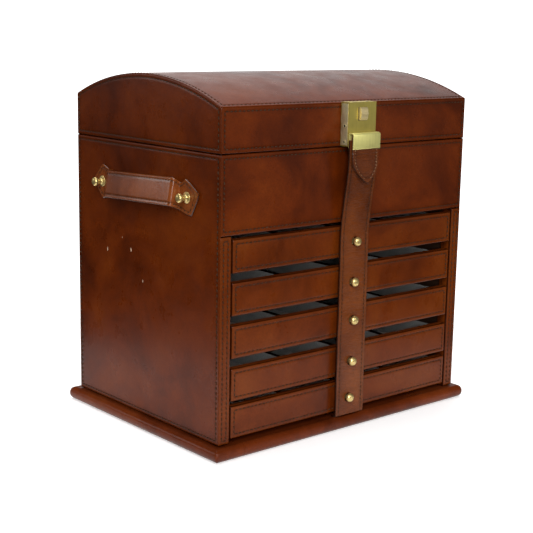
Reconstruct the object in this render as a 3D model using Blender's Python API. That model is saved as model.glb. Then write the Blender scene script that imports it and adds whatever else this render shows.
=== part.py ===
"""Leather jewellery case: a domed-lid trunk with five drawers that a strap over their knobs locks.

Metres, +Z up. The origin is the centre of the footprint, on the surface that the case stands on.
The drawers and the strap are at the front, which faces -Y. Offsets are distances in front of it.
"""

import math

import bmesh
import bpy
from mathutils import Matrix, Vector

# ---- driving dimensions ---------------------------------------------------------------------

WIDTH, DEPTH = 0.340, 0.2472  # the leather-covered body
BASE_TOP = 0.0140
BASE_OVERHANG, BASE_ROUND = 0.0094, 0.0062
SEAM = 0.2953  # where the lid meets the body
LID_CORNER = 0.3391  # top of the lid's front and back
LID_PEAK = 0.3649
GAP = 0.0003  # between pieces that touch
SETTLE = 0.0006  # space over and under the boards that stand inside the body
OVERCUT = 0.0100  # how far a cutter runs past what it cuts
PAST = 0.0010  # how far a cutter starts before what it cuts

BOARD = 0.0070  # side panels and lid ends
FRONT_BOARD = 0.0080
LINING, LINING_DROP = 0.0015, 0.0020
COMPARTMENT_BOARD, LID_BOARD = 0.0050, 0.0060
POST_INNER, POST_DEPTH = 0.1560, 0.0136
OPENING_TOP = 0.2186

DRAWER_CENTRES = (0.1984, 0.1568, 0.1148, 0.0723, 0.0347)
KNOB_SHIFTS = (  # across and up from the middle of each drawer
    (0.0007, 0.0005), (-0.0010, 0.0), (0.0, 0.0017), (-0.0007, 0.0005), (-0.0030, -0.0007),
)
KNOB_HOLE, KNOB_HOLE_DEPTH = 0.0023, 0.0055
KNOB_PROFILE = (  # radius and height over the drawer's front
    (0, -0.0050), (0.0020, -0.0050), (0.0020, GAP), (0.0042, GAP), (0.0042, 0.0012), (0.0024, 0.0018),
    (0.0024, 0.0074), (0.0044, 0.0080), (0.0048, 0.0096), (0.0042, 0.0114), (0.0024, 0.0126), (0, 0.0130),
)
DRAWER_HALF_WIDTH = 0.1544
DRAWER_HALF_HEIGHT, DRAWER_ROUND = 0.0163, 0.0010
TRAY_HALF_WIDTH = 0.1520
TRAY_BACK = 0.1080
TRAY_BELOW, TRAY_ABOVE = 0.0148, 0.0120
TRAY_WALL = 0.0025
DIVIDER = 0.0030
WELLS = 4
RUNNER_BOARD, RUNNER_REACH, RUNNER_THICK = 0.0025, 0.0165, 0.0030

STRAP_HALF_WIDTH, STRAP_THICK = 0.0200, 0.0022
STRAP_FOOT, STRAP_END = 0.0152, 0.3030
STRAP_LOW, STRAP_HIGH = 0.0055, 0.0143  # offsets of its middle, low down and at the clip
STRAP_BEND_FROM, STRAP_BEND_TO = 0.2050, 0.2920
STRAP_HOLE, FOOT_FRONT, FOOT_TOP = 0.0049, 0.0038, 0.0178
PEEL_Z = 0.0165

CLIP_HALF_WIDTH, CLIP_LOW, CLIP_TOP = 0.0190, 0.2940, 0.3100
CLIP_BACK, CLIP_FRONT, CLIP_WALL, CLIP_CORNER = 0.0119, 0.0190, 0.0010, 0.0020
TAB_HALF_WIDTH, TAB_TIP, TAB_SHOULDER, TAB_TOP, TAB_SKEW = 0.0182, 0.2590, 0.2830, 0.3060, 0.0035
TAB_BACK, TAB_FRONT = 0.0157, 0.0177
TAB_SPREAD, TAB_DRAW = 1.2, 1.3  # exponents that shape its point

LOCK_HALF_WIDTH, LOCK_LOW, LOCK_LIP, LOCK_TOP = 0.0190, 0.2964, 0.3093, 0.3400
LOCK_SHALLOW, LOCK_DEEP, LOCK_CHEEK = 0.0048, 0.0115, 0.0012
BUTTON_HALF_WIDTH, BUTTON_LOW, BUTTON_TOP = 0.0050, 0.3220, 0.3347
BUTTON_BACK, BUTTON_RIM, BUTTON_FACE = 0.0045, 0.0132, 0.0150
LATCH_HALF_WIDTH, LATCH_LOW, LATCH_TOP = 0.0060, 0.2985, 0.3160
LATCH_BACK, LATCH_FRONT, LATCH_SPACE = 0.0016, 0.0036, 0.0035  # the space is over the latch
LOCK_CUT, POCKET_BACK, SEAT_CUT = 0.0140, 0.0015, 0.0060
LOCK_SCREW_X, LOCK_SCREW_OFFSET, LOCK_SCREW_R = 0.0140, 0.0060, 0.0016
SCREW_DEPTH, SCREW_LENGTH = 0.0045, 0.0038

HANDLE_Y, HANDLE_Z = -0.0030, 0.2508
HANDLE_HALF_HEIGHT, HANDLE_THICK = 0.0140, 0.0024
HANDLE_BOW, HANDLE_BEND, HANDLE_END = 0.0115, 0.0590, 0.0640
BAND_FLAT, BAND_FALL = 4, 0.4  # exponents that make its middle flat and its ends steep
STUD_Y, STUD_HOLE = 0.0730, 0.0021
STUD_PROFILE = (  # radius and height over the handle's band
    (0, -0.0026), (0.0018, -0.0026), (0.0018, 0), (0.0058, 0), (0.0058, 0.0012), (0.0030, 0.0024),
    (0.0026, 0.0050), (0.0044, 0.0062), (0.0054, 0.0084), (0.0046, 0.0106), (0.0026, 0.0118), (0, 0.0121),
)
PAD_THICK = 0.0024
PAD_OUTLINE = (
    (0.0560, 0.0140), (0.0740, 0.0185), (0.0910, 0.0), (0.0740, -0.0185), (0.0560, -0.0140),
)

PIN_Y, PIN_R, BARREL_R, BORE_R = DEPTH / 2 + 0.0034, 0.0012, 0.0030, 0.0015
LEAF_HALF_LENGTH, LEAF_HEIGHT, LEAF_THICK, KNUCKLES = 0.1500, 0.0140, 0.0012, 5
LEAF_CLEAR, TONGUE_REACH, PIN_PROUD = 0.0004, 0.0045, 0.0005

FRONT, BACK = -DEPTH / 2, DEPTH / 2
INNER_X = WIDTH / 2 - BOARD - GAP
INNER_BACK = BACK - FRONT_BOARD + GAP
PIN_Z = SEAM + GAP / 2
LID_BASE = SEAM + GAP

MATERIALS = {
    "leather": ((0.30, 0.105, 0.035), 0.28, 0.0),
    "strap_leather": ((0.36, 0.14, 0.05), 0.32, 0.0),
    "suede": ((0.10, 0.095, 0.10), 0.95, 0.0),
    "brass": ((0.62, 0.50, 0.22), 0.28, 1.0),
    "wood": ((0.13, 0.06, 0.03), 0.55, 0.0),
}


# ---- helpers --------------------------------------------------------------------------------


def clear_scene():
    for obj in list(bpy.data.objects):
        bpy.data.objects.remove(obj, do_unlink=True)


def material(slot, name):
    """The Principled material of one node, with the slot's colour."""
    colour, roughness, metallic = MATERIALS[slot]
    made = bpy.data.materials.new(f"{name}_{slot}")
    made.use_nodes = True
    made.diffuse_color = (*colour, 1.0)
    shader = made.node_tree.nodes["Principled BSDF"]
    shader.inputs["Base Color"].default_value = (*colour, 1.0)
    shader.inputs["Roughness"].default_value = roughness
    shader.inputs["Metallic"].default_value = metallic
    return made


def add_object(name, bm, slot, parent=None):
    """Makes the object from a bmesh in world coordinates, its origin on its parent's if it has one."""
    bmesh.ops.remove_doubles(bm, verts=bm.verts, dist=1e-6)
    bmesh.ops.recalc_face_normals(bm, faces=bm.faces)
    mesh = bpy.data.meshes.new(name)
    if parent:
        bmesh.ops.transform(bm, matrix=Matrix.Translation(-parent.location), verts=bm.verts)
    bm.to_mesh(mesh)
    bm.free()
    obj = bpy.data.objects.new(name, mesh)
    bpy.context.scene.collection.objects.link(obj)
    obj.parent = parent
    if slot:
        mesh.materials.append(material(slot, name))
    else:
        obj.hide_render = True
        obj.display_type = "WIRE"
    return obj


def joint_empty(name, location):
    empty = bpy.data.objects.new(name, None)
    empty.location = location
    bpy.context.scene.collection.objects.link(empty)
    bpy.context.view_layer.update()
    return empty


def add_box(bm, low, high):
    size = Vector(high) - Vector(low)
    middle = (Vector(high) + Vector(low)) / 2
    matrix = Matrix.Translation(middle) @ Matrix.Diagonal((*size, 1.0))
    bmesh.ops.create_cube(bm, size=1.0, matrix=matrix)


def box(name, low, high, slot, parent=None):
    bm = bmesh.new()
    add_box(bm, low, high)
    return add_object(name, bm, slot, parent)


def add_prism(bm, outline, place, start, end):
    """Extrudes an outline from start to end; place(u, v, w) says where its points go in space."""
    face = bm.faces.new([bm.verts.new(place(u, v, start)) for u, v in outline])
    moved = bmesh.ops.extrude_face_region(bm, geom=[face])["geom"]
    shift = Vector(place(0, 0, end)) - Vector(place(0, 0, start))
    bmesh.ops.translate(bm, vec=shift, verts=[v for v in moved if isinstance(v, bmesh.types.BMVert)])


def along_x(u, v, w):
    return (w, u, v)


def along_y(u, v, w):
    return (u, w, v)


def prism(name, outline, place, start, end, slot, parent=None):
    bm = bmesh.new()
    add_prism(bm, outline, place, start, end)
    return add_object(name, bm, slot, parent)


def turned(bm, profile, at, axis, steps=16):
    """Spins a (radius, height) profile, whose ends lie on the axis, about the axis at a point."""
    verts = [bm.verts.new((radius, 0, height)) for radius, height in profile]
    edges = [bm.edges.new(pair) for pair in zip(verts, verts[1:])]
    bmesh.ops.spin(bm, geom=verts + edges, cent=(0, 0, 0), axis=(0, 0, 1), angle=math.tau, steps=steps)
    bmesh.ops.remove_doubles(bm, verts=bm.verts, dist=1e-6)
    turn = Vector((0, 0, 1)).rotation_difference(Vector(axis)).to_matrix().to_4x4()
    bmesh.ops.transform(bm, matrix=Matrix.Translation(at) @ turn, verts=bm.verts)


def lathe(name, profile, at, axis, slot, parent=None):
    bm = bmesh.new()
    turned(bm, profile, at, axis)
    obj = add_object(name, bm, slot, parent)
    obj.data.shade_smooth()
    obj.data.set_sharp_from_angle(angle=math.radians(40))
    return obj


def cylinders(bm, centres, axis, radius, length, steps=16):
    for centre in centres:
        part = bmesh.new()
        turned(part, ((0, 0), (radius, 0), (radius, length), (0, length)), centre, axis, steps)
        mesh = bpy.data.meshes.new("cylinder")
        part.to_mesh(mesh)
        part.free()
        bm.from_mesh(mesh)
        bpy.data.meshes.remove(mesh)


def boolean(obj, tool, operation="DIFFERENCE"):
    modifier = obj.modifiers.new(operation.lower(), "BOOLEAN")
    modifier.operation = operation
    modifier.solver = "EXACT"
    modifier.object = tool


def bevel(obj, width, segments=1):
    modifier = obj.modifiers.new("edges", "BEVEL")
    modifier.width = width
    modifier.segments = segments
    modifier.limit_method = "ANGLE"
    modifier.angle_limit = math.radians(50)


def cut_boxes(obj, boxes):
    bm = bmesh.new()
    for low, high in boxes:
        add_box(bm, low, high)
    boolean(obj, add_object(obj.name + "_cutter", bm, None))


# ---- the body -------------------------------------------------------------------------------


def make_base():
    half_x, half_y = WIDTH / 2 + BASE_OVERHANG, DEPTH / 2 + BASE_OVERHANG
    base = box("base_board", (-half_x, -half_y, 0), (half_x, half_y, BASE_TOP), "leather")
    bevel(base, BASE_ROUND, 3)


def make_carcass():
    bottom, top = BASE_TOP + GAP, SEAM
    for side, sign in (("left", -1), ("right", 1)):
        xs = sorted((sign * WIDTH / 2, sign * (WIDTH / 2 - BOARD)))
        box(f"side_panel_{side}", (xs[0], FRONT, bottom), (xs[1], BACK, top), "leather")
        xs = sorted((sign * INNER_X, sign * POST_INNER))
        back = FRONT + POST_DEPTH
        box(f"post_{side}", (xs[0], FRONT, bottom), (xs[1], back, OPENING_TOP - GAP), "leather")
    box("back_panel", (-INNER_X, BACK - FRONT_BOARD + 2 * GAP, bottom), (INNER_X, BACK, top), "leather")
    box("front_fascia", (-INNER_X, FRONT, OPENING_TOP), (INNER_X, FRONT + FRONT_BOARD, top), "leather")


def make_compartment():
    """The top compartment's floor board, and its lining as an open box."""
    front = FRONT + FRONT_BOARD + GAP
    floor_top = OPENING_TOP + COMPARTMENT_BOARD
    low = (-INNER_X, front, OPENING_TOP + SETTLE)
    box("compartment_floor", low, (INNER_X, INNER_BACK, floor_top), "wood")
    low = Vector((-INNER_X + GAP, front, floor_top + GAP))
    high = Vector((INNER_X - GAP, INNER_BACK, SEAM - LINING_DROP))
    lining = box("compartment_lining", low, high, "suede")
    wall = Vector((LINING, LINING, 0))
    cut_boxes(lining, [(low + wall + Vector((0, 0, LINING)), high - wall + Vector((0, 0, OVERCUT)))])


def make_runners():
    """A board on each side with a ledge under every drawer's tray."""
    outline = [(INNER_X, BASE_TOP + SETTLE)]
    inner, reach = INNER_X - RUNNER_BOARD, INNER_X - RUNNER_REACH
    outline.append((inner, BASE_TOP + SETTLE))
    for centre in reversed(DRAWER_CENTRES):
        top = centre - TRAY_BELOW - GAP
        outline += [(inner, top - RUNNER_THICK), (reach, top - RUNNER_THICK), (reach, top), (inner, top)]
    outline += [(inner, OPENING_TOP - SETTLE), (INNER_X, OPENING_TOP - SETTLE)]
    front = FRONT + POST_DEPTH + GAP
    for side, sign in (("left", -1), ("right", 1)):
        points = [(sign * u, v) for u, v in outline]
        prism(f"drawer_runner_{side}", points, along_y, front, INNER_BACK, "wood")


# ---- drawers --------------------------------------------------------------------------------


def knob_place(number, back=0.0):
    """Where a drawer's knob stands on its front; hand-fitted knobs aren't all centred."""
    across, up = KNOB_SHIFTS[number - 1]
    return (across, FRONT - back, DRAWER_CENTRES[number - 1] + up)


def make_drawer(number, centre):
    name = f"drawer_{number}"
    slide = joint_empty(f"{name}_slide", (0, FRONT, centre))
    board_back = FRONT + FRONT_BOARD
    front = box(
        f"{name}_front",
        (-DRAWER_HALF_WIDTH, FRONT, centre - DRAWER_HALF_HEIGHT),
        (DRAWER_HALF_WIDTH, board_back, centre + DRAWER_HALF_HEIGHT),
        "leather",
        slide,
    )
    bevel(front, DRAWER_ROUND)
    hole = bmesh.new()
    cylinders(hole, [knob_place(number, 2 * PAST)], (0, 1, 0), KNOB_HOLE, 2 * PAST + KNOB_HOLE_DEPTH, 12)
    boolean(front, add_object(f"{name}_hole", hole, None))

    low = Vector((-TRAY_HALF_WIDTH, board_back + GAP, centre - TRAY_BELOW))
    high = Vector((TRAY_HALF_WIDTH, TRAY_BACK, centre + TRAY_ABOVE))
    over = Vector((0, 0, OVERCUT))
    tray = box(f"{name}_tray", low, high, "wood", slide)
    wall = Vector((TRAY_WALL, TRAY_WALL, 0))
    floor = Vector((0, 0, TRAY_WALL))
    cut_boxes(tray, [(low + wall + floor, high - wall + over)])

    clear = Vector((GAP, GAP, 0))
    low, high = low + wall + clear + floor + Vector((0, 0, GAP)), high - wall - clear
    lining = box(f"{name}_lining", low, high, "suede", slide)
    pitch = (high.x - low.x - 2 * LINING - (WELLS - 1) * DIVIDER) / WELLS + DIVIDER
    wells = []
    for index in range(WELLS):
        start = low.x + LINING + index * pitch
        wells.append(
            (
                (start, low.y + LINING, low.z + LINING),
                (start + pitch - DIVIDER, high.y - LINING, high.z + OVERCUT),
            )
        )
    cut_boxes(lining, wells)

    lathe(f"{name}_knob", KNOB_PROFILE, knob_place(number), (0, -1, 0), "brass", slide)


# ---- lid ------------------------------------------------------------------------------------


def dome(half_depth, thickness, steps=14):
    """Points (y, z) of the barrel's arc, front to back, lowered by a thickness measured radially."""
    rise = LID_PEAK - LID_CORNER
    radius = (BACK**2 + rise**2) / (2 * rise)
    inner = radius - thickness
    centre = LID_PEAK - radius
    ys = [-half_depth + 2 * half_depth * index / steps for index in range(steps + 1)]
    return [(y, centre + math.sqrt(inner**2 - y**2)) for y in ys]


def make_lid(hinge):
    for side, sign in (("left", -1), ("right", 1)):
        outline = [(BACK, LID_BASE), (FRONT, LID_BASE)] + dome(BACK, 0)
        outer, inner = sign * WIDTH / 2, sign * (WIDTH / 2 - BOARD)
        prism(f"lid_end_{side}", outline, along_x, outer, inner, "leather", hinge)
    outline = dome(BACK, 0) + dome(BACK, LID_BOARD)[::-1]
    prism("lid_top", outline, along_x, -INNER_X, INNER_X, "leather", hinge)
    wall_top = dome(BACK, LID_BOARD)[0][1] - GAP
    for name, start in (("lid_front", FRONT), ("lid_back", BACK - FRONT_BOARD)):
        high = (INNER_X, start + FRONT_BOARD, wall_top)
        box(name, (-INNER_X, start, LID_BASE), high, "leather", hinge)
    low = Vector((-INNER_X + GAP, FRONT + FRONT_BOARD + GAP, LID_BASE + PAST))
    high = Vector((INNER_X - GAP, BACK - FRONT_BOARD - GAP, wall_top))
    lining = box("lid_lining", low, high, "suede", hinge)
    wall = Vector((LINING, LINING, 0))
    cut_boxes(lining, [(low + wall - Vector((0, 0, OVERCUT)), high - wall - Vector((0, 0, LINING)))])


def knuckle(sign):
    """Outline of a hinge barrel with the tongue that joins it to its leaf, below it or above it."""
    arc_from, arc_to, steps = -math.acos(LEAF_THICK / BARREL_R - 1), math.pi, 14
    points = []
    for index in range(steps + 1):
        angle = arc_from + (arc_to - arc_from) * index / steps
        points.append((BARREL_R * math.cos(angle), BARREL_R * math.sin(angle)))
    points += [(-BARREL_R, -TONGUE_REACH), (-BARREL_R + LEAF_THICK, -TONGUE_REACH)]
    return [(PIN_Y + y, PIN_Z + sign * z) for y, z in points]


def make_hinge(lid_hinge):
    """Two leaves with interleaved knuckles on one long pin along the back."""
    pitch = 2 * LEAF_HALF_LENGTH / KNUCKLES
    near, far = BARREL_R + LEAF_CLEAR, LEAF_HEIGHT
    ys = (PIN_Y - BARREL_R, PIN_Y - BARREL_R + LEAF_THICK)
    for name, sign, first, parent in (("case", 1, 0, None), ("lid", -1, 1, lid_hinge)):
        zs = sorted((PIN_Z - sign * near, PIN_Z - sign * far))
        leaf = box(
            f"hinge_leaf_{name}",
            (-LEAF_HALF_LENGTH, ys[0], zs[0]),
            (LEAF_HALF_LENGTH, ys[1], zs[1]),
            "brass",
            parent,
        )
        tools = bmesh.new()
        for index in range(first, KNUCKLES, 2):
            start = -LEAF_HALF_LENGTH + index * pitch
            add_prism(tools, knuckle(sign), along_x, start + GAP, start + pitch - GAP)
        boolean(leaf, add_object(f"hinge_{name}_knuckles", tools, None), "UNION")
        bore = bmesh.new()
        start = (-LEAF_HALF_LENGTH - PAST, PIN_Y, PIN_Z)
        cylinders(bore, [start], (1, 0, 0), BORE_R, 2 * (LEAF_HALF_LENGTH + PAST), 12)
        boolean(leaf, add_object(f"hinge_{name}_bore", bore, None))
    half = LEAF_HALF_LENGTH + PIN_PROUD
    profile = ((0, 0), (PIN_R, 0), (PIN_R, 2 * half), (0, 2 * half))
    lathe("hinge_pin", profile, (-half, PIN_Y, PIN_Z), (1, 0, 0), "brass")


# ---- lock -----------------------------------------------------------------------------------


def offset_box(half_width, offsets, zs):
    """Corners of a box centred on the front, between two offsets and two heights."""
    return (-half_width, FRONT - offsets[1], zs[0]), (half_width, FRONT - offsets[0], zs[1])


def make_lock(lid_hinge):
    low, high = offset_box(LOCK_HALF_WIDTH, (GAP, LOCK_DEEP), (LOCK_LOW, LOCK_TOP))
    case = box("lock_case", low, high, "brass", lid_hinge)
    between = LOCK_HALF_WIDTH - LOCK_CHEEK
    cut_boxes(case, [offset_box(between, (LOCK_SHALLOW, LOCK_CUT), (LOCK_LOW - PAST, LOCK_LIP))])
    pockets = bmesh.new()
    side = BUTTON_HALF_WIDTH + GAP
    add_box(pockets, *offset_box(side, (POCKET_BACK, LOCK_CUT), (BUTTON_LOW - GAP, BUTTON_TOP + GAP)))
    side = LATCH_HALF_WIDTH + GAP
    slot = (LATCH_BACK - GAP, LATCH_FRONT + GAP)
    add_box(pockets, *offset_box(side, slot, (LOCK_LOW - PAST, LATCH_TOP + LATCH_SPACE)))
    seats = [(sign * LOCK_SCREW_X, FRONT - LOCK_SCREW_OFFSET, LOCK_TOP - SCREW_DEPTH) for sign in (-1, 1)]
    cylinders(pockets, seats, (0, 0, 1), LOCK_SCREW_R + GAP, SEAT_CUT, 12)
    boolean(case, add_object("lock_pockets", pockets, None))

    screw = ((0, 0), (LOCK_SCREW_R, 0), (LOCK_SCREW_R, SCREW_LENGTH), (0, SCREW_LENGTH))
    for side, seat in zip(("left", "right"), seats):
        at = Vector(seat) + Vector((0, 0, GAP))
        lathe(f"lock_screw_{side}", screw, at, (0, 0, 1), "brass", lid_hinge)

    press = joint_empty("lock_press", (0, FRONT - BUTTON_FACE, (BUTTON_LOW + BUTTON_TOP) / 2))
    outline = [(FRONT - BUTTON_BACK, BUTTON_LOW), (FRONT - BUTTON_BACK, BUTTON_TOP)]
    steps = 10
    for index in range(steps + 1):
        t = index / steps
        swell = (BUTTON_FACE - BUTTON_RIM) * math.sin(math.pi * t)
        outline.append((FRONT - BUTTON_RIM - swell, BUTTON_TOP + (BUTTON_LOW - BUTTON_TOP) * t))
    prism("lock_button", outline, along_x, -BUTTON_HALF_WIDTH, BUTTON_HALF_WIDTH, "brass", press)
    low, high = offset_box(LATCH_HALF_WIDTH, (LATCH_BACK, LATCH_FRONT), (LATCH_LOW, LATCH_TOP))
    lift = joint_empty("latch_lift", (0, FRONT - LATCH_FRONT, LATCH_LOW))
    box("lock_latch", low, high, "brass", lift)


# ---- strap ----------------------------------------------------------------------------------


def strap_offset(z):
    """Offset of the strap's middle at a height: close to the drawers, then out over the lid's lock."""
    t = min(max((z - STRAP_BEND_FROM) / (STRAP_BEND_TO - STRAP_BEND_FROM), 0.0), 1.0)
    return STRAP_LOW + (STRAP_HIGH - STRAP_LOW) * t * t * (3 - 2 * t)


def make_strap(peel):
    bends = 10
    heights = [STRAP_FOOT]
    for index in range(bends + 1):
        heights.append(STRAP_BEND_FROM + (STRAP_BEND_TO - STRAP_BEND_FROM) * index / bends)
    heights.append(STRAP_END)
    front = [(FRONT - strap_offset(z) - STRAP_THICK / 2, z) for z in heights]
    back = [(FRONT - strap_offset(z) + STRAP_THICK / 2, z) for z in heights]
    half = STRAP_HALF_WIDTH
    strap = prism("strap", front + back[::-1], along_x, -half, half, "strap_leather", peel)
    holes = bmesh.new()
    centres = [knob_place(number, PAST) for number in range(1, len(DRAWER_CENTRES) + 1)]
    cylinders(holes, centres, (0, -1, 0), STRAP_HOLE, OVERCUT, 20)
    boolean(strap, add_object("strap_holes", holes, None))

    steps = 8
    right, left = [], []
    for index in range(steps + 1):
        t = index / steps
        half = TAB_HALF_WIDTH * math.sin(t * math.pi / 2) ** TAB_SPREAD
        z = TAB_TIP + (TAB_SHOULDER - TAB_TIP) * t**TAB_DRAW
        right.append((TAB_SKEW * (1 - t) + half, z))
        left.append((TAB_SKEW * (1 - t) - half, z))
    right.append((TAB_HALF_WIDTH, TAB_TOP))
    left.append((-TAB_HALF_WIDTH, TAB_TOP))
    outline = right + left[:0:-1]
    prism("strap_tab", outline, along_y, FRONT - TAB_FRONT, FRONT - TAB_BACK, "strap_leather", peel)

    clip_in, clip_out = CLIP_BACK + CLIP_WALL, CLIP_FRONT - CLIP_WALL
    outline = [
        (CLIP_BACK, CLIP_LOW), (clip_in, CLIP_LOW), (clip_in, CLIP_TOP - CLIP_WALL),
        (clip_out, CLIP_TOP - CLIP_WALL), (clip_out, CLIP_LOW), (CLIP_FRONT, CLIP_LOW),
        (CLIP_FRONT, CLIP_TOP - CLIP_CORNER), (CLIP_FRONT - CLIP_CORNER, CLIP_TOP), (CLIP_BACK, CLIP_TOP),
    ]
    points = [(FRONT - offset, z) for offset, z in outline]
    prism("strap_clip", points, along_x, -CLIP_HALF_WIDTH, CLIP_HALF_WIDTH, "brass", peel)
    low, high = offset_box(STRAP_HALF_WIDTH, (GAP, FOOT_FRONT), (BASE_TOP + GAP, FOOT_TOP))
    box("strap_foot", low, high, "leather")


# ---- handles --------------------------------------------------------------------------------


def band_offset(y, end_offset):
    """How far the handle's band stands off the panel at a distance from the handle's middle."""
    if abs(y) >= HANDLE_BEND:
        return end_offset
    return end_offset + (HANDLE_BOW - end_offset) * (1 - (abs(y) / HANDLE_BEND) ** BAND_FLAT) ** BAND_FALL


def make_handle(side, sign):
    wall = WIDTH / 2
    for end, toward in (("front", -1), ("back", 1)):
        outline = [(HANDLE_Y + toward * u, HANDLE_Z + v) for u, v in PAD_OUTLINE]
        pad = prism(
            f"handle_{side}_pad_{end}",
            outline,
            along_x,
            sign * (wall + GAP),
            sign * (wall + GAP + PAD_THICK),
            "leather",
        )
        drill_side(pad, sign, toward)
    rest = GAP + PAD_THICK + GAP + HANDLE_THICK / 2
    steps = 28
    middle = []
    for index in range(steps + 1):
        y = HANDLE_BEND * math.sin(math.pi * (index / steps - 0.5))
        middle.append((band_offset(y, rest), y))
    middle = [(rest, -HANDLE_END)] + middle + [(rest, HANDLE_END)]
    outer, inner = [], []
    for index, (offset, y) in enumerate(middle):
        before, after = middle[max(index - 1, 0)], middle[min(index + 1, len(middle) - 1)]
        along = (Vector(after) - Vector(before)).normalized()
        normal = Vector((along.y, -along.x)) * HANDLE_THICK / 2
        outer.append((sign * (wall + offset + normal.x), HANDLE_Y + y + normal.y))
        inner.append((sign * (wall + offset - normal.x), HANDLE_Y + y - normal.y))
    bm = bmesh.new()
    low, high = HANDLE_Z - HANDLE_HALF_HEIGHT, HANDLE_Z + HANDLE_HALF_HEIGHT
    add_prism(bm, outer + inner[::-1], lambda u, v, w: (u, v, w), low, high)
    add_object(f"handle_{side}_band", bm, "leather")
    face = GAP + PAD_THICK + GAP
    for end, toward in (("front", -1), ("back", 1)):
        at = (sign * (wall + face), HANDLE_Y + toward * STUD_Y, HANDLE_Z)
        lathe(f"handle_{side}_stud_{end}", STUD_PROFILE, at, (sign, 0, 0), "brass")


def drill_side(obj, sign, toward):
    """The hole for a stud's shank."""
    tool = bmesh.new()
    at = (sign * (WIDTH / 2 - PAST), HANDLE_Y + toward * STUD_Y, HANDLE_Z)
    cylinders(tool, [at], (sign, 0, 0), STUD_HOLE, OVERCUT, 12)
    boolean(obj, add_object(f"{obj.name}_drill_{toward}", tool, None))


# ---- the whole case -------------------------------------------------------------------------


def main():
    clear_scene()
    make_base()
    make_carcass()
    make_compartment()
    make_runners()
    for number, centre in enumerate(DRAWER_CENTRES, start=1):
        make_drawer(number, centre)
    lid_hinge = joint_empty("lid_hinge", (0, PIN_Y, PIN_Z))
    make_lid(lid_hinge)
    make_hinge(lid_hinge)
    make_lock(lid_hinge)
    make_strap(joint_empty("strap_peel", (0, FRONT - STRAP_LOW, PEEL_Z)))
    make_handle("left", -1)
    make_handle("right", 1)


main()
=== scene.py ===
"""The looks of the leather jewellery case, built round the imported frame.

Metres, +Z up, the front faces -Y. Leather panels are closed grids whose profile is worked out from
the distance to their edges; their stitches are small capsules that lie along the same surface.
"""

import math
import random

import bmesh
import bpy
from mathutils import Matrix, Vector, noise


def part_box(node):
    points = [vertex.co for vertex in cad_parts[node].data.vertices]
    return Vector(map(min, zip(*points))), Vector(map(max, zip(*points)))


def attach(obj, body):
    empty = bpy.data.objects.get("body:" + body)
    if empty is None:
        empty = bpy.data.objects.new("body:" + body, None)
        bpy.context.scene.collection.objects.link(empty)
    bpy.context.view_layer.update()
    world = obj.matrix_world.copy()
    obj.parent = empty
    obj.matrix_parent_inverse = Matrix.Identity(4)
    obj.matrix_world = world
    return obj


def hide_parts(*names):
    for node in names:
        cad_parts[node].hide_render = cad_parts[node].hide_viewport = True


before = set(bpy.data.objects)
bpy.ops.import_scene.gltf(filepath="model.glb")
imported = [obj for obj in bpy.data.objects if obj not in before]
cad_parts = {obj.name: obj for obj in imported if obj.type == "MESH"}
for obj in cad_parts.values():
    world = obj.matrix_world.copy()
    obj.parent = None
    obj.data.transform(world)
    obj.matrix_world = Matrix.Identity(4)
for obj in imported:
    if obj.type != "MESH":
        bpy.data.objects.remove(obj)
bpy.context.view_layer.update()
MM = 0.001
BOXES = {name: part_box(name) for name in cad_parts}
LID_CORNER_RISE = 6.8 * MM  # from the top of the lid's front panel up to the lid's corner
SIDES = (("left", -1), ("right", 1))
DRAWERS = range(1, 6)

# ---- places, all from the frame

SIDE_LOW, SIDE_HIGH = BOXES["side_panel_left"]
X_OUT = -SIDE_LOW[0]
FRONT, BACK = SIDE_LOW[1], SIDE_HIGH[1]
BODY_LOW, SEAM = SIDE_LOW[2], SIDE_HIGH[2]
POST_X = abs(BOXES["post_left"][1][0])
POST_TOP = BOXES["post_left"][1][2]
FASCIA_LOW = BOXES["front_fascia"][0][2]
LID_LOW = BOXES["lid_front"][0][2]
LID_PEAK = BOXES["lid_end_left"][1][2]
LID_CORNER = BOXES["lid_front"][1][2] + LID_CORNER_RISE
RISE = LID_PEAK - LID_CORNER
ARC_R = (BACK**2 + RISE**2) / (2 * RISE)
ARC_Z = LID_PEAK - ARC_R

# ---- leather work

EDGE_ROUND = 1.5 * MM
STITCH_IN = 4.3 * MM  # how far the stitch line lies from the panel's edge
STITCH_PITCH = 5.0 * MM
STITCH_WIDTH = 1.3 * MM
GROOVE = 0.22 * MM
GROOVE_HALF = 1.1 * MM
MITRE_DEPTH = 6.8 * MM  # how far in and down a mitred edge runs
CROWN = 0.35 * MM  # how far a panel swells in its middle
HIDDEN = 6.0  # the edge distance, in millimetres, given to undersides; it is past the stitches
BOARD, POST_BOARD, LID_BOARD = 7 * MM, 13.2 * MM, 5.5 * MM
WRAPPED = ("mitre", "mitre", "square", "square")
LID_EDGES = ("mitre", "mitre", "square", "mitre")
NICKS = 4

STRAP_HALF = 1.1 * MM
STRAP_BEND_LOW, STRAP_BEND_LENGTH = 205 * MM, 87 * MM
HOLE_RADIUS = 4.9 * MM

# ---- turned pieces, as (radius, height) in millimetres

KNOB_PROFILE = (
    (0, -2.0), (1.9, -2.0), (1.9, 0.2), (4.2, 0.3), (4.2, 1.1), (2.5, 1.9), (2.3, 6.9), (3.7, 7.5),
    (4.6, 8.6), (4.7, 10.6), (3.4, 12.3), (1.4, 12.9), (0, 13.0),
)
STUD_PROFILE = (
    (0, -1.5), (1.7, -1.5), (1.7, 0.1), (5.6, 0.2), (5.6, 1.0), (3.2, 2.0), (2.5, 3.2), (2.4, 5.4),
    (3.6, 6.6), (4.6, 8.6), (4.5, 10.4), (3.0, 11.8), (0, 12.1),
)
RUNNER_SCREW = ((0, -1.0), (1.0, -1.0), (1.0, 0.3), (0, 0.45))
HINGE_SCREW = ((0, -0.6), (2.0, -0.6), (2.0, 0.2), (0, 0.6))

# ---- stage

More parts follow.
